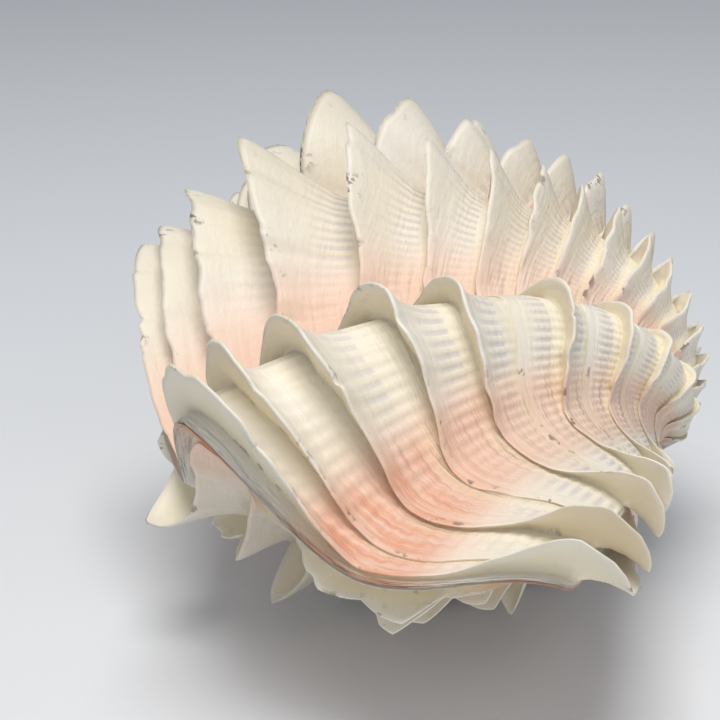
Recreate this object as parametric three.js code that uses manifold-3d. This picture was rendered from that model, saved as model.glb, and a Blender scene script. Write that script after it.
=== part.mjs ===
// A closed fluted giant clam shell, the upper valve on the lower one, as it rests on a surface.
// Millimetres, +Z up, the surface at z = 0. The hinge line runs along X and the ventral margin faces +Y.
//
// A clam adds shell at its margin, so every earlier margin is still there: a smaller copy, turned about the
// hinge line. Both valves are drawn that way, by shrinking and turning one scalloped margin curve. Now and
// then the margin flares outward into a row of scales, one on each rib, and the growth goes on beneath it.
import * as THREE from "three";
import Module from "manifold-3d";

// From the umbo to the ventral margin, without scales. The scale heights and wall below are fractions of it.
const shellHeight = 84;
// How far the shell is tipped about the hinge line where it rests, ventral margin up.
const restTilt = THREE.MathUtils.degToRad(14);
// The tips that the shell stands on are worn flat by this much.
const wornTips = 2.9;
// Clearance between the valves at the margin.
const valveGap = 0.36;

// The margin from the far end of the hinge to the near end, trough and rib crest of the upper valve in turn:
// degrees from the ventral direction, reach from the umbo, and rise out of the plane between the valves.
const marginPoints = [
  { angle: -88, reach: 0.5, rise: 0 },
  { angle: -63, reach: 0.74, rise: 0.05 },
  { angle: -46, reach: 0.76, rise: -0.05 },
  { angle: -30, reach: 0.88, rise: 0.06 },
  { angle: -16, reach: 0.8, rise: -0.07 },
  { angle: -3, reach: 0.87, rise: 0.06 },
  { angle: 28, reach: 0.83, rise: -0.12 },
  { angle: 43, reach: 0.98, rise: 0.088 },
  { angle: 61, reach: 0.91, rise: -0.02 },
  { angle: 80, reach: 0.87, rise: 0.07 },
  { angle: 85, reach: 0.38, rise: 0 },
];
const lastPoint = marginPoints.length - 1;
const columnsPerPoint = 4;

// Each valve: the side it grows to, how fast its margins shrink with each radian of turn, the turns that its
// rows of scales stand at, how fast the scales shrink with each radian of turn, how steeply a scale falls off
// on the side toward the near end and on the other, how pointed its tip is (1 is a straight-sided point and 2
// is round), and its ribs from the far end to the near end. Of each rib: its place, the height of the scales
// near the margin, the height of the older ones if they had not shrunk, the lean of both toward the margin,
// how far the older rows are swept back, and the row from which on it skips every second scale.
const upper = {
  name: "upper_valve",
  side: 1,
  shrink: 0.84,
  rows: [0.015, 0.07, 0.15, 0.285, 0.45, 0.6, 0.74, 0.87, 1, 1.13, 1.27, 1.42, 1.58, 1.76, 1.96, 2.18, 2.42],
  scaleShrink: 1.1,
  nearFall: 1,
  farFall: 5,
  tipCurve: 1.3,
  ribs: [
    { at: 1, young: 0.1, old: 0.155, youngLean: 0.35, oldLean: 0.35, sweep: 0, bareFrom: Infinity },
    { at: 3, young: 0.08, old: 0.285, youngLean: 0.3, oldLean: 0.3, sweep: 0, bareFrom: Infinity },
    { at: 5, young: 0.07, old: 0.225, youngLean: 0.45, oldLean: 0.25, sweep: -0.03, bareFrom: Infinity },
    { at: 7, young: 0.115, old: 0.105, youngLean: -0.1, oldLean: -0.1, sweep: 0.05, bareFrom: 5 },
    { at: 9, young: 0.11, old: 0.14, youngLean: 0.4, oldLean: 0.4, sweep: 0.03, bareFrom: 1 },
  ],
  colour: 0xf1e6d4,
};
const lower = {
  name: "lower_valve",
  side: -1,
  shrink: 1.35,
  rows: [0.04, 0.13, 0.24, 0.37, 0.53, 0.72, 0.94, 1.19, 1.47, 1.8, 2.2],
  scaleShrink: 0.66,
  nearFall: 2,
  farFall: 2.2,
  tipCurve: 1,
  ribs: [
    { at: 0, young: 0.02, old: 0.02, youngLean: 0.3, oldLean: 0.3, sweep: 0, bareFrom: Infinity },
    { at: 2, young: 0.11, old: 0.16, youngLean: 0.3, oldLean: 0.3, sweep: 0, bareFrom: Infinity },
    { at: 4, young: 0.13, old: 0.18, youngLean: 0.3, oldLean: 0.3, sweep: 0, bareFrom: Infinity },
    { at: 6, young: 0.12, old: 0.18, youngLean: 0.3, oldLean: 0.3, sweep: 0, bareFrom: Infinity },
    { at: 8, young: 0.08, old: 0.13, youngLean: 0.3, oldLean: 0.3, sweep: 0, bareFrom: Infinity },
    { at: 10, young: 0.03, old: 0.03, youngLean: 0.3, oldLean: 0.3, sweep: 0, bareFrom: Infinity },
  ],
  colour: 0xe9dccb,
};
const lastTurn = 3.05;
// In the troughs a row keeps a low edge: this share of its height, and at least this part of the shell's.
const scaleFoot = 0.08;
const leastScale = 0.009;
// The scales fade out over this much of the margin at each end of the hinge.
const endFade = 0.6;
// A scale that is this much of the shell's height or more, unshrunk, has its full hollow underneath.
const fullScale = 0.03;
// Of the way back to the next row: where a scale's foot lies, and where its back is drawn, at which height.
const footShare = 0.22;
const backShare = 0.3;
const backHeight = 0.42;
// The way back from the last row.
const lastGap = 0.22;
// From this turn on the scales count as old, and the rows are fully swept back.
const oldTurn = 0.3;

function between(points, at, key) {
  const i = Math.min(Math.floor(at), lastPoint - 1);
  const wave = (1 - Math.cos(Math.PI * (at - i))) / 2;
  return points[i][key] * (1 - wave) + points[i + 1][key] * wave;
}

function marginAt(at) {
  const i = Math.min(Math.floor(at), lastPoint - 1);
  const degrees = THREE.MathUtils.lerp(marginPoints[i].angle, marginPoints[i + 1].angle, at - i);
  const angle = THREE.MathUtils.degToRad(degrees);
  const reach = between(marginPoints, at, "reach") * shellHeight;
  const rise = between(marginPoints, at, "rise") * shellHeight;
  return new THREE.Vector3(-reach * Math.sin(angle), reach * Math.cos(angle), rise);
}

// A point of the valve's wall without scales, at a place along the margin and a turn back in growth.
function wallPoint(valve, at, turn) {
  const point = marginAt(at).applyAxisAngle(new THREE.Vector3(1, 0, 0), turn * valve.side);
  return point.multiplyScalar(Math.exp(-valve.shrink * turn));
}

// What the function gives for each rib, blended from rib to rib along the margin.
function onRibs({ ribs }, valueOf, at) {
  const k = ribs.findIndex((rib, i) => i + 1 === ribs.length || at <= ribs[i + 1].at);
  if (at <= ribs[0].at || k + 1 === ribs.length) return valueOf(ribs[k]);
  const share = (at - ribs[k].at) / (ribs[k + 1].at - ribs[k].at);
  return THREE.MathUtils.lerp(valueOf(ribs[k]), valueOf(ribs[k + 1]), Math.min(share, 1));
}

// The way a scale grows out of the wall: along the outward normal, leaning toward the margin.
function scaleDirection(valve, at, turn, rowTurn) {
  const step = 0.002;
  const along = wallPoint(valve, Math.min(at + step, lastPoint), turn);
  along.sub(wallPoint(valve, Math.max(at - step, 0), turn));
  const back = wallPoint(valve, at, turn + step).sub(wallPoint(valve, at, turn - step));
  const outward = new THREE.Vector3().crossVectors(along, back).normalize().multiplyScalar(valve.side);
  const aged = THREE.MathUtils.smoothstep(rowTurn, 0, oldTurn);
  const lean = onRibs(valve, (rib) => THREE.MathUtils.lerp(rib.youngLean, rib.oldLean, aged), at);
  return outward.multiplyScalar(Math.cos(lean)).addScaledVector(back.normalize(), -Math.sin(lean));
}

// The height of a row's scales at a place along the margin, with the clam's growth since then taken out.
function unshrunkHeight(valve, at, row) {
  const crest = (1 - Math.cos(Math.PI * at)) / 2;
  const wave = valve.side > 0 ? crest : 1 - crest;
  const fromCrest = Math.acos(2 * wave - 1) / Math.PI;
  const fall = Math.sin(Math.PI * at) * valve.side < 0 ? valve.nearFall : valve.farFall;
  const profile = scaleFoot + (1 - scaleFoot) * (1 - fromCrest ** valve.tipCurve) ** fall;
  const ends = Math.min(1, Math.min(at, lastPoint - at) / endFade);
  const aged = THREE.MathUtils.smoothstep(valve.rows[row], 0, oldTurn);
  const heightOf = (rib) => {
    const skipped = row >= rib.bareFrom && (row - rib.bareFrom) % 2 === 0;
    return skipped ? 0 : THREE.MathUtils.lerp(rib.young, rib.old, aged);
  };
  return Math.max(onRibs(valve, heightOf, at) * profile * ends, leastScale);
}

// The lines of the outer face at a place along the margin, from the margin to the umbo: the turn of each, how
// high it stands over the wall, and the turn of its row. A scale goes from its foot out to its tip, and its
// back falls away to the next row.
function outerLines(valve, at) {
  const lines = [{ turn: 0, height: 0, rowTurn: 0 }];
  valve.rows.forEach((rowTurn, row) => {
    const swept = onRibs(valve, (rib) => rib.sweep, at) * THREE.MathUtils.smoothstep(rowTurn, 0, oldTurn);
    const turn = rowTurn + swept;
    const gap = (valve.rows[row + 1] ?? rowTurn + lastGap) - rowTurn;
    const unshrunk = unshrunkHeight(valve, at, row);
    const height = unshrunk * shellHeight * Math.exp(-valve.scaleShrink * rowTurn);
    const footBack = footShare * Math.min(1, unshrunk / fullScale);
    lines.push({ turn: turn + footBack * gap, height: 0, rowTurn });
    lines.push({ turn, height, rowTurn });
    lines.push({ turn: turn + backShare * gap, height: backHeight * height, rowTurn });
  });
  for (const turn of [(valve.rows.at(-1) + lastTurn) / 2, lastTurn]) {
    lines.push({ turn, height: 0, rowTurn: turn });
  }
  return lines;
}

// The inner face is the wall drawn nearer to the hinge line, thinnest at the margin and thick at the umbo.
const innerTurns = [2.5, 2.0, 1.5, 1.05, 0.65, 0.3, 0];
const marginShare = 0.95;
const wallGrowth = { by: 0.03, overTurn: 0.5 };
const umboGrowth = { by: 0.3, fromTurn: 1.1, toTurn: 2.6 };
function innerShare(turn) {
  const wall = wallGrowth.by * Math.min(turn / wallGrowth.overTurn, 1);
  const umbo = umboGrowth.by * THREE.MathUtils.smoothstep(turn, umboGrowth.fromTurn, umboGrowth.toTurn);
  return marginShare - wall - umbo;
}

function valveMesh(valve) {
  const columns = lastPoint * columnsPerPoint + 1;
  const outer = outerLines(valve, 0);
  const lines = outer.length + innerTurns.length;
  const lift = new THREE.Vector3(0, 0, (valve.side * valveGap) / 2);
  const corners = [];
  for (let c = 0; c < columns; c++) {
    const at = c / columnsPerPoint;
    for (const { turn, height, rowTurn } of outerLines(valve, at)) {
      const point = wallPoint(valve, at, turn);
      point.addScaledVector(scaleDirection(valve, at, turn, rowTurn), height);
      corners.push(...point.add(lift).toArray());
    }
    for (const turn of innerTurns) {
      const point = wallPoint(valve, at, turn).multiplyScalar(innerShare(turn));
      corners.push(...point.add(lift).toArray());
    }
  }
  const faces = [];
  const face = (a, b, c) => faces.push(...(valve.side > 0 ? [a, b, c] : [a, c, b]));
  for (let c = 0; c + 1 < columns; c++) {
    for (let l = 0; l < lines; l++) {
      const a = c * lines + l;
      const b = c * lines + ((l + 1) % lines);
      face(a, a + lines, b);
      face(b, a + lines, b + lines);
    }
  }
  // Each end of the hinge is closed by a strip between the outer and the inner lines.
  for (const [first, turned] of [
    [0, false],
    [(columns - 1) * lines, true],
  ]) {
    const end = (a, b, c) => {
      const [p, q, r] = turned ? [a, b, c] : [a, c, b];
      face(first + p, first + q, first + r);
    };
    let o = 0;
    let i = lines - 1;
    while (o < outer.length - 1 || i > outer.length) {
      const outerTurn = o < outer.length - 1 ? outer[o + 1].turn : Infinity;
      const innerTurn = i > outer.length ? innerTurns[i - 1 - outer.length] : Infinity;
      if (outerTurn <= innerTurn) {
        end(o, i, o + 1);
        o++;
      } else {
        end(o, i, i - 1);
        i--;
      }
    }
  }
  const geometry = new THREE.BufferGeometry();
  geometry.setAttribute("position", new THREE.Float32BufferAttribute(corners, 3));
  geometry.setIndex(faces);
  geometry.rotateX(restTilt);
  return geometry;
}

const manifold = await Module();
manifold.setup();

function solidOf(geometry) {
  const vertProperties = geometry.getAttribute("position").array;
  const triVerts = new Uint32Array(geometry.index.array);
  return new manifold.Manifold(new manifold.Mesh({ numProp: 3, vertProperties, triVerts }));
}

function geometryOf(solid) {
  const mesh = solid.getMesh();
  const geometry = new THREE.BufferGeometry();
  geometry.setAttribute("position", new THREE.Float32BufferAttribute(mesh.vertProperties, 3));
  geometry.setIndex(new THREE.Uint32BufferAttribute(mesh.triVerts, 1));
  geometry.computeVertexNormals();
  return geometry;
}

function shellMaterial(colour) {
  return new THREE.MeshStandardMaterial({ color: colour, roughness: 0.62, metalness: 0, flatShading: true });
}

// The lower valve stands on its lowest scale tips, worn to one level.
const upperSolid = solidOf(valveMesh(upper));
let lowerSolid = solidOf(valveMesh(lower));
const floor = lowerSolid.boundingBox().min[2] + wornTips;
lowerSolid = lowerSolid.trimByPlane([0, 0, 1], floor);

const whole = new THREE.Box3();
const shell = new THREE.Group();
for (const [valve, solid] of [
  [upper, upperSolid],
  [lower, lowerSolid],
]) {
  const mesh = new THREE.Mesh(geometryOf(solid), shellMaterial(valve.colour));
  mesh.name = valve.name;
  mesh.geometry.computeBoundingBox();
  whole.union(mesh.geometry.boundingBox);
  shell.add(mesh);
}
const middle = whole.getCenter(new THREE.Vector3());
shell.children.forEach((mesh) => mesh.geometry.translate(-middle.x, -middle.y, -floor));

export default shell;
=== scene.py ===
"""A closed fluted giant clam shell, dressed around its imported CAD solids.

A clam adds shell at its margin, so each valve is drawn as in the CAD source: by shrinking and turning one
scalloped margin curve about the hinge line. Here the same growth is drawn finely, with every scale, riblet
and chipped rim. Metres, +Z up, the surface at z = 0, the ventral margin toward +Y, the near end at -X.
"""

import math

import bpy
import numpy as np
from mathutils import Matrix, Vector


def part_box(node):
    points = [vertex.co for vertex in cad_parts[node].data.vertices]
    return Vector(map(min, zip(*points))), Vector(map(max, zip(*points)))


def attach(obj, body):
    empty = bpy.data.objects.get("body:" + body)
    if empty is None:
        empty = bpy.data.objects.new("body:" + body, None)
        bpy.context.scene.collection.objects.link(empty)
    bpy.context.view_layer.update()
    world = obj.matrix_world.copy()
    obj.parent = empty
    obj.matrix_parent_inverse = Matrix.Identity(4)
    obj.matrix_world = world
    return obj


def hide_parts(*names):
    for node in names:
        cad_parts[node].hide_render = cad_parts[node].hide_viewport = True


MM = 0.001

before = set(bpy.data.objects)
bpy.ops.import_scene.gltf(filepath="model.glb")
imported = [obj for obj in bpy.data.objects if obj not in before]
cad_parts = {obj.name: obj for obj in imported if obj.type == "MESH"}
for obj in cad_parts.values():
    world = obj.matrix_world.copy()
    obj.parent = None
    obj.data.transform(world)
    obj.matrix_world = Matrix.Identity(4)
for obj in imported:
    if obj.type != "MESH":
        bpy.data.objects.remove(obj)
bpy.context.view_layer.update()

# The growth of the shell, as in the CAD source: from the umbo to the ventral margin, the tilt at rest, and
# the clearance between the valves at the margin.
SHELL_HEIGHT = 84 * MM
REST_TILT = math.radians(14)
VALVE_GAP = 0.36 * MM

# The margin from the far end of the hinge to the near end, troughs and rib crests of the upper valve in turn:
# degrees from the ventral direction, reach from the umbo, and rise out of the plane between the valves.
MARGIN_ANGLES = [-88, -63, -46, -30, -16, -3, 28, 43, 61, 80, 85]
MARGIN_REACH = [0.5, 0.74, 0.76, 0.88, 0.8, 0.87, 0.83, 0.98, 0.91, 0.87, 0.38]
MARGIN_RISE = [0, 0.05, -0.05, 0.06, -0.07, 0.06, -0.12, 0.088, -0.02, 0.07, 0]
LAST_POINT = len(MARGIN_ANGLES) - 1
# A row that no valve has, for the ribs that skip no scale.
NEVER = 99

# Each valve: the side it grows to, how fast its margins shrink with each radian of turn, and the turns that
# its rows of scales stand at. For each of its ribs, from the far end to the near end: its place, the height
# of the scales near the margin and of the older ones if they had not shrunk, the lean of both toward the
# margin, the row from which on it skips every second scale, and how far its older rows are swept back. Then
# how fast the scales shrink, how deep their edges are notched into teeth, how steeply they fall off toward
# the near end and toward the far end, how pointed their tips are (1 is a straight-sided point and 2 is
# round), and a seed for their chips.
UPPER = {
    "node": "upper_valve",
    "slot": "upper_shell",
    "side": 1,
    "shrink": 0.84,
    "rows": [
        *(0.015, 0.07, 0.15, 0.285, 0.45, 0.6, 0.74, 0.87, 1),
        *(1.13, 1.27, 1.42, 1.58, 1.76, 1.96, 2.18, 2.42),
    ],
    "ribs": [1, 3, 5, 7, 9],
    "young": [0.1, 0.08, 0.07, 0.115, 0.11],
    "old": [0.155, 0.285, 0.225, 0.105, 0.14],
    "young_leans": [0.35, 0.3, 0.45, -0.1, 0.4],
    "old_leans": [0.35, 0.3, 0.25, -0.1, 0.4],
    "bare_from": [NEVER, NEVER, NEVER, 5, 1],
    "sweep": [0, 0, -0.03, 0.05, 0.03],
    "scale_shrink": 1.1,
    "frill": 0.0,
    "broad_side": 1.0,
    "steep_side": 5.0,
    "tip_curve": 1.3,
    "seed": 11,
}
LOWER = {
    "node": "lower_valve",
    "slot": "lower_shell",
    "side": -1,
    "shrink": 1.35,
    "rows": [0.04, 0.13, 0.24, 0.37, 0.53, 0.72, 0.94, 1.19, 1.47, 1.8, 2.2],
    "ribs": [0, 2, 4, 6, 8, 10],
    "young": [0.02, 0.11, 0.13, 0.12, 0.08, 0.03],
    "old": [0.02, 0.16, 0.18, 0.18, 0.13, 0.03],
    "young_leans": [0.3] * 6,
    "old_leans": [0.3] * 6,
    "bare_from": [NEVER] * 6,
    "sweep": [0] * 6,
    "scale_shrink": 0.66,
    "broad_side": 2.0,
    "steep_side": 2.2,
    "tip_curve": 1.0,
    "frill": 0.6,
    "seed": 23,
}
# From this turn on the scales count as old, and the rows are fully swept back.
OLD_TURN = 0.3
LAST_TURN = 3.05
# The turn from the last row to the next place where one could stand.
LAST_GAP = 0.22
# In the troughs a row keeps a low edge, this share of its height, and it fades out toward the hinge's ends.
SCALE_FOOT = 0.08
END_FADE = 0.6
# The CAD source draws no scale lower than this, and one of the second height or more has its full hollow.
LEAST_SCALE = 0.009 * SHELL_HEIGHT
FULL_SCALE = 0.03 * SHELL_HEIGHT

# The fine outer face. Each row of scales is drawn by lines up its hollow ventral face, over its rim, and down
# its back to the next row. Shares are of the way up the scale, or of the way back to the next row.
FOOT_SHARE = 0.22
BARE_FOOT_SHARE = -0.04
FACE_LINES = [0.0, 0.25, 0.55, 0.85, 0.96]
BACK_LINES = [0.03, 0.12, 0.25, 0.42, 0.6, 0.8]
# Rows this far back are small, and are drawn with fewer lines.
SMALL_TURN = 1.1
SMALL_FACE_LINES = [0.0, 0.5, 0.94]
SMALL_BACK_LINES = [0.04, 0.2, 0.45, 0.75]
# How fast the back of a scale falls away from its rim.
BACK_FALL = 2.5
# How strong the orange in the troughs is, by place along the margin: most in the trough near the near end.
BLUSH_AT = [0, 6.8, 7.2, 10]
BLUSH = [0.72, 0.72, 1.0, 0.9]
# The width of a rim, and how far down the back its dirt reaches.
RIM_THICKNESS = 0.55 * MM
RIM_SHARE = 0.12
# The hollow face leaves the wall steeply and curls toward the rim.
FACE_CURL = 1.4
FACE_RISE = 1.6
FACE_RISE_SHARE = 0.45
# How fast the hollow's colour fades up the face, and how near to its top the rim's begins.
HOLLOW_POWER = 3
RIM_POWER = 8
# A row sways a little along the margin, its rim is ragged, and here and there a chip is out of it: the share
# of the gap to the next row or of the height, and the length over which it changes.
SWAYS = [(0.09, 13 * MM), (0.04, 4 * MM)]
RAGS = [(0.09, 9 * MM), (0.06, 2.4 * MM)]
CHIP_LENGTHS = (1.6 * MM, 7 * MM)
CHIP_FROM = 0.45
CHIP_DEPTH = 0.5
# The teeth of a notched edge, and how far each row's are set off from the last row's.
TOOTH_LENGTH = 11 * MM
TOOTH_SHIFT = 0.37
# Riblets run from the umbo to the margin over the ribs, and fade out below the rim.
RIBLET_SPACING = 2.3 * MM
RIBLET_HEIGHT = 0.36 * MM
RIBLET_SHRINK = 0.5
RIBLET_FADE = (0.15, 0.5)
COLUMNS_PER_RIBLET = 4
# The inner face is the wall drawn nearer to the hinge line, thinnest at the margin and thick at the umbo.
INNER_LINES = 18
INNER_TURN = 2.5
MARGIN_SHARE = 0.95
WALL_GROWTH, WALL_TURN = 0.03, 0.5
UMBO_GROWTH, UMBO_TURNS = 0.3, (1.1, 2.6)


def smoothstep(low, high, x):
    t = np.clip((x - low) / (high - low), 0, 1)
    return t * t * (3 - 2 * t)


# The CAD source draws this many columns from one margin point to the next.
CAD_COLUMNS_PER_POINT = 4


class Waves:
    """Smooth random values along a line, the same in each run."""

    def __init__(self, seed):
        self.random = np.random.default_rng(seed)

    def line(self, x, step):
        """Values from -1 to 1 along x, changing over lengths of about step."""
        knots = self.random.uniform(-1, 1, int(np.max(x) / step) + 3)
        place = np.asarray(x) / step
        i = np.floor(place).astype(int)
        t = place - i
        t = t * t * (3 - 2 * t)
        return knots[i] * (1 - t) + knots[i + 1] * t


def between(values, at):
    """The value at a place along the margin, blended smoothly from point to point."""
    values = np.asarray(values, float)
    i = np.clip(np.floor(at).astype(int), 0, LAST_POINT - 1)
    wave = (1 - np.cos(np.pi * (at - i))) / 2
    return values[i] * (1 - wave) + values[i + 1] * wave


def margin_at(at):
    angle = np.radians(np.interp(at, range(LAST_POINT + 1), MARGIN_ANGLES))
    reach = between(MARGIN_REACH, at) * SHELL_HEIGHT
    rise = between(MARGIN_RISE, at) * SHELL_HEIGHT
    return np.stack([-reach * np.sin(angle), reach * np.cos(angle), rise], -1)


def about_hinge(points, c, s):
    """The points turned about the hinge line, by an angle whose cosine and sine are given."""
    x, y, z = np.moveaxis(points, -1, 0)
    return np.stack([x, c * y - s * z, s * y + c * z], -1)


def at_rest(points):
    return about_hinge(points, math.cos(REST_TILT), math.sin(REST_TILT))


def wall_point(valve, at, turn):
    """A point of the valve's wall without scales, at a place along the margin and a turn back in growth."""
    point = margin_at(at)
    c, s = np.cos(turn * valve["side"]), np.sin(turn * valve["side"])
    return about_hinge(point, c, s) * np.exp(-valve["shrink"] * turn)[..., None]


def unit(v):
    return v / np.maximum(np.linalg.norm(v, axis=-1, keepdims=True), 1e-12)


def wall_frame(valve, at, turn):
    """The outward normal and the way back from the margin, at points of the wall."""
    step = 0.002  # radians, and parts of the way to the next margin point
    along = wall_point(valve, np.minimum(at + step, LAST_POINT), turn)
    along -= wall_point(valve, np.maximum(at - step, 0), turn)
    back = unit(wall_point(valve, at, turn + step) - wall_point(valve, at, turn - step))
    outward = unit(np.cross(along, back)) * valve["side"]
    return outward, back


def on_ribs(valve, key, at):
    return np.interp(at, valve["ribs"], valve[key])


def crest_wave(valve, at):
    """1 on the valve's rib crests and 0 in the troughs between them."""
    crest = (1 - np.cos(np.pi * at)) / 2
    return crest if valve["side"] > 0 else 1 - crest


def bare(valve, i):
    """For each rib, 1 where it has a scale in row i and 0 where it skips it."""
    return [0.0 if i >= start and (i - start) % 2 == 0 else 1.0 for start in valve["bare_from"]]


def by_age(valve, young, old, at, turn):
    aged = smoothstep(0, OLD_TURN, turn)
    return on_ribs(valve, young, at) * (1 - aged) + on_ribs(valve, old, at) * aged


def scale_lean(valve, at, turn):
    return by_age(valve, "young_leans", "old_leans", at, turn)


def scale_height(valve, at, i, ragged=1.0):
    turn = valve["rows"][i]
    falling = np.sin(np.pi * at) * valve["side"] < 0
    power = np.where(falling, valve["broad_side"], valve["steep_side"])
    crest_at = np.arccos(np.clip(2 * crest_wave(valve, at) - 1, -1, 1)) / np.pi
    profile = SCALE_FOOT + (1 - SCALE_FOOT) * (1 - crest_at ** valve["tip_curve"]) ** power
    ends = np.clip(np.minimum(at, LAST_POINT - at) / END_FADE, 0, 1)
    height = by_age(valve, "young", "old", at, turn) * np.interp(at, valve["ribs"], bare(valve, i))
    return height * profile * ends * SHELL_HEIGHT * math.exp(-valve["scale_shrink"] * turn) * ragged


def swept(valve, at, row):
    return row + on_ribs(valve, "sweep", at) * smoothstep(0, OLD_TURN, row)


def inner_share(turn):
    wall = WALL_GROWTH * np.minimum(turn / WALL_TURN, 1)
    return MARGIN_SHARE - wall - UMBO_GROWTH * smoothstep(*UMBO_TURNS, turn)


def place_columns():
    """Places along the margin that are the same distance apart, a few to each riblet, and their distances."""
    fine = np.linspace(0, LAST_POINT, 4001)
    steps = np.linalg.norm(np.diff(margin_at(fine), axis=0), axis=1)
    length = np.concatenate([[0], np.cumsum(steps)])
    count = int(length[-1] / RIBLET_SPACING * COLUMNS_PER_RIBLET) + 1
    arc = np.linspace(0, length[-1], count)
    return np.interp(arc, length, fine), arc * (count - 1) * RIBLET_SPACING / COLUMNS_PER_RIBLET / length[-1]


class ValveShape:
    """The fine surface of a valve: a grid of columns from the far end to the near end, and lines round it."""

    def __init__(self, valve):
        self.valve = valve
        self.waves = Waves(valve["seed"])
        self.at, self.arc = place_columns()
        self.points = []
        self.masks = []

    def add(self, point, **mask):
        lift = np.array([0, 0, self.valve["side"] * VALVE_GAP / 2])
        self.points.append(point + lift)
        self.masks.append(mask)

    def riblets(self, turn):
        """The height of the riblets at a turn: they spread with the growth, so they sit at fixed places."""
        wave = (1 + np.cos(2 * np.pi * self.arc / RIBLET_SPACING)) / 2
        return RIBLET_HEIGHT * wave * np.exp(-RIBLET_SHRINK * self.valve["shrink"] * turn)

    def wavy(self, waves):
        """The sum of several random lines along the margin, each given as its size and length."""
        total = 0
        for size, length in waves:
            total = total + size * self.waves.line(self.arc, length)
        return total

    def ragged(self, i):
        """The share of a scale's height that is left at each column: uneven, chipped, and notched."""
        uneven = 1 + self.wavy(RAGS)
        short, long = (self.waves.line(self.arc, length) for length in CHIP_LENGTHS)
        chip = np.maximum(short * long - CHIP_FROM, 0)
        notch = np.abs(2 * ((self.arc / TOOTH_LENGTH + TOOTH_SHIFT * i) % 1) - 1)
        return (uneven - CHIP_DEPTH * chip) * (1 - self.valve["frill"] * notch)

    def outer(self):
        self.plain(0.0)
        rows = self.valve["rows"]
        for i, (row, later) in enumerate(zip(rows, rows[1:] + [rows[-1] + LAST_GAP])):
            self.row(i, row, later - row)
        self.plain((rows[-1] + LAST_TURN) / 2)
        self.plain(LAST_TURN)

    def plain(self, turn, share=1.0, scale=0.0):
        """A line of the wall itself, or of the inner face at a share of it."""
        turn = np.full_like(self.at, turn)
        point = wall_point(self.valve, self.at, turn) * np.asarray(share)[..., None]
        self.add(point, hollow=0.0, rim=0.0, turn=turn, scale=scale)

    def row(self, i, row, gap):
        """The lines of one row of scales: up the hollow faces, over the rims, and down the backs."""
        valve, at = self.valve, self.at
        turn = swept(valve, at, row) + gap * self.wavy(SWAYS)
        height = scale_height(valve, at, i, self.ragged(i))
        raised = np.clip(height / (FULL_SCALE * math.exp(-valve["scale_shrink"] * row)), 0, 1)
        foot = turn + gap * (FOOT_SHARE * raised + BARE_FOOT_SHARE * (1 - raised))
        lean = scale_lean(valve, at, row)
        small = row > SMALL_TURN
        for share in SMALL_FACE_LINES if small else FACE_LINES:
            line_turn = foot + (turn - foot) * share**FACE_CURL
            rise = height * ((1 - FACE_RISE_SHARE) * share + FACE_RISE_SHARE * share**FACE_RISE)
            point = self.leaning(line_turn, rise, lean * share, 0)
            self.add(point, hollow=1 - share**HOLLOW_POWER, rim=share**RIM_POWER, turn=line_turn, scale=share)
        point = self.leaning(turn, height, lean, RIM_THICKNESS / 2)
        self.add(point, hollow=0.0, rim=1.0, turn=turn, scale=1.0)
        for share in SMALL_BACK_LINES if small else BACK_LINES:
            line_turn = turn + gap * share
            fall = (1 - share) ** BACK_FALL
            ribbed = self.riblets(line_turn) * smoothstep(*RIBLET_FADE, share)
            point = self.leaning(line_turn, height * fall + ribbed, lean * fall, RIM_THICKNESS * fall)
            self.add(point, hollow=0.0, rim=max(0.0, 1 - share / RIM_SHARE), turn=line_turn, scale=fall)

    def leaning(self, turn, height, lean, backward):
        """A point at a height over the wall, leaning toward the margin, and set back for a rim's width."""
        outward, back = wall_frame(self.valve, self.at, turn)
        lean = np.asarray(lean)[..., None]
        way = outward * np.cos(lean) - back * np.sin(lean)
        return wall_point(self.valve, self.at, turn) + way * np.asarray(height)[..., None] + back * backward

    def inner(self):
        for turn in np.linspace(INNER_TURN, 0, INNER_LINES):
            self.plain(turn, inner_share(turn), scale=-1.0)

    def build(self):
        self.outer()
        self.outer_count = len(self.points)
        self.inner()
        self.grid = at_rest(np.stack(self.points, 1))
        return self

    def mesh(self, name, offset, floor=None):
        columns, lines = self.grid.shape[:2]
        co = (self.grid + offset).reshape(-1, 3)
        if floor is not None:
            co[:, 2] = np.maximum(co[:, 2], floor)
        a = np.arange(columns - 1)[:, None] * lines + np.arange(lines)[None, :]
        b = np.arange(columns - 1)[:, None] * lines + (np.arange(lines)[None, :] + 1) % lines
        quads = np.stack([a, a + lines, b + lines, b], -1).reshape(-1, 4)
        faces = quads if self.valve["side"] > 0 else quads[:, ::-1]
        mesh = bpy.data.meshes.new(name)
        mesh.from_pydata(co.tolist(), [], faces.tolist() + self.end_caps(columns, lines))
        mesh.polygons.foreach_set("use_smooth", np.ones(len(mesh.polygons), bool))
        self.paint(mesh, columns, lines)
        mesh.validate()
        mesh.update()
        return mesh

    def end_caps(self, columns, lines):
        """Each end of the hinge is closed by a strip between the outer and the inner lines."""
        caps = []
        outer, side = self.outer_count, self.valve["side"]
        past_all = math.inf
        for first, turned in [(0, False), ((columns - 1) * lines, True)]:
            o, i = 0, lines - 1
            while o < outer - 1 or i > outer:
                outer_turn = float(np.mean(self.masks[o + 1]["turn"])) if o < outer - 1 else past_all
                inner_turn = float(np.mean(self.masks[i - 1]["turn"])) if i > outer else past_all
                if outer_turn <= inner_turn:
                    tri = (o, i, o + 1)
                    o += 1
                else:
                    tri = (o, i, i - 1)
                    i -= 1
                flip = turned == (side > 0)
                tri = tri if flip else (tri[0], tri[2], tri[1])
                caps.append(tuple(first + k for k in tri))
        return caps

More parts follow.
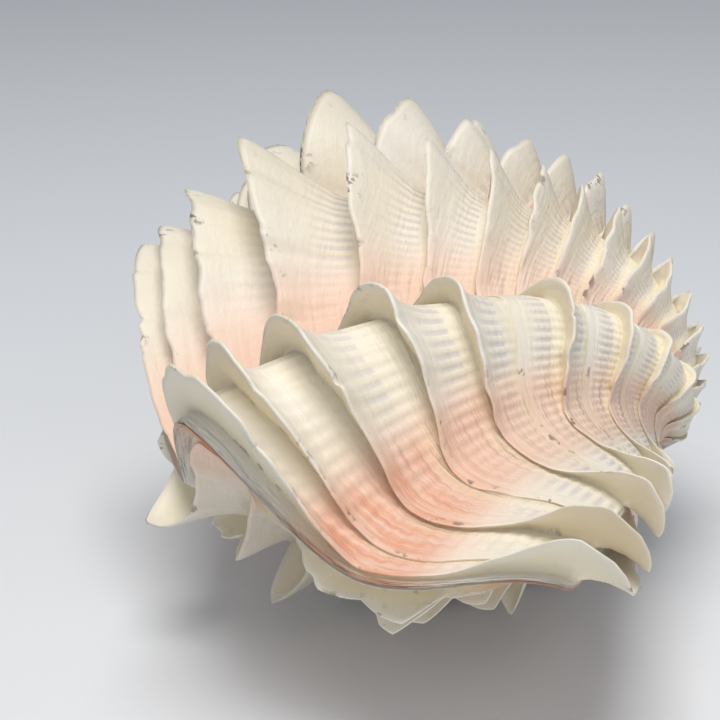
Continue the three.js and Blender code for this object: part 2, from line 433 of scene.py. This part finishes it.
    def paint(self, mesh, columns, lines):
        """Stores what the material needs at each point: how deep in a trough or hollow it lies, and so on."""
        at = self.at[:, None]
        trough = np.broadcast_to(1 - crest_wave(self.valve, at), (columns, lines))
        turn = np.stack([np.broadcast_to(m["turn"], columns) for m in self.masks], 1)
        values = {
            "trough": trough,
            "blush": trough * np.interp(at, BLUSH_AT, BLUSH),
            "turn": turn,
            "along": np.broadcast_to(self.arc[:, None] / RIBLET_SPACING, (columns, lines)),
        }
        for key in ("hollow", "rim", "scale"):
            values[key] = np.stack([np.broadcast_to(m[key], columns) for m in self.masks], 1)
        for key, value in values.items():
            attribute = mesh.attributes.new(key, "FLOAT", "POINT")
            attribute.data.foreach_set("value", np.ascontiguousarray(value, dtype=np.float32).ravel())


class Nodes:
    """Short ways to add shader nodes to one material."""

    def __init__(self, name):
        self.material = bpy.data.materials.new(name)
        self.material.use_nodes = True
        self.nodes, self.links = self.material.node_tree.nodes, self.material.node_tree.links
        self.nodes.clear()

    def link(self, value, socket):
        if isinstance(value, bpy.types.NodeSocket):
            self.links.new(value, socket)
        else:
            socket.default_value = value

    def attribute(self, name):
        node = self.nodes.new("ShaderNodeAttribute")
        node.attribute_name = name
        return node.outputs["Fac"]

    def math(self, operation, a, b=0.0, c=0.0):
        node = self.nodes.new("ShaderNodeMath")
        node.operation = operation
        for value, socket in zip((a, b, c), node.inputs):
            self.link(value, socket)
        return node.outputs["Value"]

    def times(self, *values):
        result = values[0]
        for value in values[1:]:
            result = self.math("MULTIPLY", result, value)
        return result

    def ramp(self, value, low, high):
        """0 below low and 1 above high, smooth between."""
        node = self.nodes.new("ShaderNodeMapRange")
        node.interpolation_type = "SMOOTHSTEP"
        self.link(value, node.inputs["Value"])
        node.inputs["From Min"].default_value = low
        node.inputs["From Max"].default_value = high
        return node.outputs["Result"]

    def noise(self, scale, detail=3.0, roughness=0.55, vector=None):
        node = self.nodes.new("ShaderNodeTexNoise")
        node.inputs["Scale"].default_value = scale
        node.inputs["Detail"].default_value = detail
        node.inputs["Roughness"].default_value = roughness
        if vector is None:
            vector = self.nodes.new("ShaderNodeTexCoord").outputs["Object"]
        self.links.new(vector, node.inputs["Vector"])
        return node.outputs["Fac"]

    def vector(self, x, y, z=0.0):
        node = self.nodes.new("ShaderNodeCombineXYZ")
        for value, socket in zip((x, y, z), node.inputs):
            self.link(value, socket)
        return node.outputs["Vector"]

    def mix(self, share, a, b):
        node = self.nodes.new("ShaderNodeMix")
        node.data_type = "RGBA"
        self.link(share, node.inputs["Factor"])
        colours = [socket for socket in node.inputs if socket.type == "RGBA"]
        self.link(a, colours[0])
        self.link(b, colours[1])
        return [socket for socket in node.outputs if socket.type == "RGBA"][0]


CREAM = (0.82, 0.75, 0.61, 1)
CHALK = (0.87, 0.82, 0.73, 1)
PEACH = (0.84, 0.57, 0.43, 1)
CORAL = (0.72, 0.27, 0.14, 1)
STRAW = (0.82, 0.7, 0.42, 1)
# A lilac-grey for painted shade in the grooves between the riblets.
LILAC_SHADE = (0.58, 0.54, 0.57, 1)
DIRT = (0.16, 0.11, 0.07, 1)

# Noise in the colour: waves per metre, and detail.
CLOUDS = (14, 2)
PATCHES = (45, 4)
DIRTY_PLACES = (95, 2)
DIRT_GRAINS = (480, 2, 0.7)
PORES = (900, 2)
# Growth lines follow the margin: waves per radian of turn, and per riblet along the margin.
GROWTH_WAVES = (75.0, 0.22)
LAMELLA_WAVES = (34.0, 0.1)
LAMELLA_SHIFT = 5.0
# How much of each colour goes over the ones before it.
PEACH_SHARE = 0.85
CORAL_SHARE = 0.85
STRAW_SHARE = 0.55
LILAC_SHADE_SHARE = 0.6
CHALK_LINES = 0.16
DIRT_SHARE = 0.85
FOOT_DIRT = 0.6
# The orange is young: it fades out between these turns, and streaks of it are this much stronger.
YOUNG_TURNS = (0.7, 0.05)
STREAK_SHARE = 0.55
# Fine relief, as shares of the bump's distance.
BUMP_DISTANCE = 0.9 * MM
BUMP_STRENGTH = 0.75
GROWTH_RELIEF = 0.35
PORE_RELIEF = 0.12
LAMELLA_RELIEF = 1.1
ROUGHNESS_SPREAD = 0.3
LEAST_ROUGHNESS = 0.36
SPECULAR = 0.4


def shell_colour(n, growth, patches):
    """Cream scales, peach and orange troughs, pale yellow hollows, painted lilac-grey shade in the riblet
    grooves, and specks of dirt.
    """
    trough, turn, along = n.attribute("trough"), n.attribute("turn"), n.attribute("along")
    hollow, rim, scale = n.attribute("hollow"), n.attribute("rim"), n.attribute("scale")
    colour = n.mix(n.ramp(patches, 0.35, 0.7), CREAM, CHALK)

    groove = n.times(n.ramp(trough, 0.3, 0.9), n.ramp(n.noise(*CLOUDS), 0.15, 0.5))
    colour = n.mix(n.times(groove, PEACH_SHARE), colour, PEACH)
    streaks = n.math("MULTIPLY_ADD", n.ramp(growth, 0.4, 0.62), STREAK_SHARE, 1 - STREAK_SHARE)
    deep = n.times(n.ramp(n.attribute("blush"), 0.55, 0.95), streaks, n.ramp(turn, *YOUNG_TURNS))
    colour = n.mix(n.times(deep, CORAL_SHARE), colour, CORAL)

    colour = n.mix(n.times(hollow, n.ramp(patches, 0.2, 0.6), STRAW_SHARE), colour, STRAW)
    # Painted shade: lilac-grey in the grooves between the riblets, on the low backs of the older scales on
    # the ribs.
    between_riblets = n.ramp(n.math("COSINE", n.times(along, 2 * math.pi)), 0.5, -0.7)
    low_back = n.times(n.ramp(scale, 0.5, 0.05), n.ramp(hollow, 0.1, 0.0))
    old_rib = n.times(n.ramp(trough, 0.75, 0.3), n.ramp(turn, 0.08, 0.4))
    colour = n.mix(n.times(low_back, old_rib, between_riblets, LILAC_SHADE_SHARE), colour, LILAC_SHADE)
    colour = n.mix(n.times(n.ramp(growth, 0.5, 0.8), CHALK_LINES), colour, CHALK)

    # Old dirt sits in specks along the rims and at the feet of the scales.
    edge = n.math("MAXIMUM", rim, n.times(n.ramp(hollow, 0.93, 1.0), FOOT_DIRT))
    dirty = n.ramp(n.noise(*DIRTY_PLACES), 0.5, 0.62)
    specks = n.times(n.ramp(n.noise(*DIRT_GRAINS), 0.56, 0.63), edge, dirty)
    return n.mix(n.times(specks, DIRT_SHARE), colour, DIRT)


def growth_noise(n, waves, detail, roughness, shift=0.0):
    turn, along = n.attribute("turn"), n.attribute("along")
    return n.noise(1, detail, roughness, n.vector(n.times(turn, waves[0]), n.times(along, waves[1]), shift))


def fine_relief(n, growth):
    lamellae = growth_noise(n, LAMELLA_WAVES, 2, 0.5, LAMELLA_SHIFT)
    in_trough = n.ramp(n.attribute("trough"), 0.45, 0.9)
    heights = n.math("ADD", n.times(growth, GROWTH_RELIEF), n.times(n.noise(*PORES), PORE_RELIEF))
    heights = n.math("ADD", heights, n.times(lamellae, in_trough, LAMELLA_RELIEF))
    bump = n.nodes.new("ShaderNodeBump")
    bump.inputs["Strength"].default_value = BUMP_STRENGTH
    bump.inputs["Distance"].default_value = BUMP_DISTANCE
    n.link(heights, bump.inputs["Height"])
    return bump.outputs["Normal"]


def shell_material(name):
    n = Nodes(name)
    patches = n.noise(*PATCHES)
    growth = growth_noise(n, GROWTH_WAVES, 4, 0.6)
    shader = n.nodes.new("ShaderNodeBsdfPrincipled")
    n.link(shell_colour(n, growth, patches), shader.inputs["Base Color"])
    roughness = n.math("ADD", n.times(patches, ROUGHNESS_SPREAD), LEAST_ROUGHNESS)
    n.link(roughness, shader.inputs["Roughness"])
    n.link(fine_relief(n, growth), shader.inputs["Normal"])
    shader.inputs["Specular IOR Level"].default_value = SPECULAR
    out = n.nodes.new("ShaderNodeOutputMaterial")
    n.links.new(shader.outputs["BSDF"], out.inputs["Surface"])
    return n.material


def add_valve(valve, offset, floor=None):
    name = valve["node"] + "_shell"
    piece = bpy.data.objects.new(name, ValveShape(valve).build().mesh(name, offset, floor))
    bpy.context.scene.collection.objects.link(piece)
    piece.data.materials.append(shell_material(valve["slot"]))
    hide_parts(valve["node"])
    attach(piece, "root")
    return piece


def hinge_offset():
    """Where the umbo lies in the part's frame: the upper valve's tips, as in CAD, against its packed box."""
    valve = UPPER
    at = np.arange(LAST_POINT * CAD_COLUMNS_PER_POINT + 1) / CAD_COLUMNS_PER_POINT
    lines = [wall_point(valve, at, np.zeros_like(at))]
    for i, row in enumerate(valve["rows"]):
        turn = swept(valve, at, row)
        least = LEAST_SCALE * math.exp(-valve["scale_shrink"] * row)
        height = np.maximum(scale_height(valve, at, i), least)
        outward, back = wall_frame(valve, at, turn)
        lean = scale_lean(valve, at, row)[..., None]
        way = outward * np.cos(lean) - back * np.sin(lean)
        lines.append(wall_point(valve, at, turn) + way * height[..., None])
    tips = at_rest(np.concatenate(lines) + np.array([0, 0, VALVE_GAP / 2]))
    return np.array(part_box(valve["node"])[1]) - tips.max(0)


umbo = hinge_offset()
add_valve(UPPER, umbo)
add_valve(LOWER, umbo, floor=0.0)

# The photo was taken from the near end, a little above: the camera's place and its aim, from the umbo.
CAMERA_PLACE = Vector((-279, 15.8, 109.5)) * MM
CAMERA_AIM = Vector((0.2, 40.4, 10.7)) * MM
CAMERA_ROLL = math.radians(-1)
CAMERA_LENS = 99.6


def add_camera(umbo):
    data = bpy.data.cameras.new("camera")
    data.lens = CAMERA_LENS
    camera = bpy.data.objects.new("camera", data)
    bpy.context.scene.collection.objects.link(camera)
    turned = (CAMERA_AIM - CAMERA_PLACE).to_track_quat("-Z", "Y").to_matrix().to_4x4()
    rolled = turned @ Matrix.Rotation(CAMERA_ROLL, 4, "Z")
    camera.matrix_world = Matrix.Translation(umbo + CAMERA_PLACE) @ rolled
    bpy.context.scene.camera = camera


add_camera(Vector(umbo))


# Each light: place, size in metres, watts and colour. A big soft one overhead, and a weak one from the front.
LIGHT_AIM = Vector((0, 0, 0.03))
LIGHTS = {
    "key": ((-0.22, 0.0, 0.7), 0.4, 4.0, (1, 0.98, 0.95)),
    "fill": ((-0.6, -0.2, 0.3), 0.6, 0.8, (0.9, 0.94, 1)),
}
STUDIO_COLOUR = (0.85, 0.9, 1, 1)
STUDIO_STRENGTH = 0.3
FLOOR_SIZE = 6
FLOOR_COLOUR = (0.8, 0.82, 0.84, 1)
FLOOR_ROUGHNESS = 0.7


def add_light(name, place, size, power, colour):
    data = bpy.data.lights.new(name, "AREA")
    data.size = size
    data.energy = power
    data.color = colour
    light = bpy.data.objects.new(name, data)
    bpy.context.scene.collection.objects.link(light)
    light.location = place
    light.rotation_euler = (LIGHT_AIM - Vector(place)).to_track_quat("-Z", "Y").to_euler()


def add_floor():
    bpy.ops.mesh.primitive_plane_add(size=FLOOR_SIZE, location=(0, 0, 0))
    floor = bpy.context.object
    floor.name = "floor"
    material = bpy.data.materials.new("floor")
    material.use_nodes = True
    shader = material.node_tree.nodes["Principled BSDF"]
    shader.inputs["Base Color"].default_value = FLOOR_COLOUR
    shader.inputs["Roughness"].default_value = FLOOR_ROUGHNESS
    floor.data.materials.append(material)


def add_studio():
    world = bpy.data.worlds.new("studio")
    bpy.context.scene.world = world
    world.use_nodes = True
    background = world.node_tree.nodes["Background"]
    background.inputs["Color"].default_value = STUDIO_COLOUR
    background.inputs["Strength"].default_value = STUDIO_STRENGTH
    bpy.context.scene.view_settings.view_transform = "Standard"


for light_name, settings in LIGHTS.items():
    add_light(light_name, *settings)
add_floor()
add_studio()
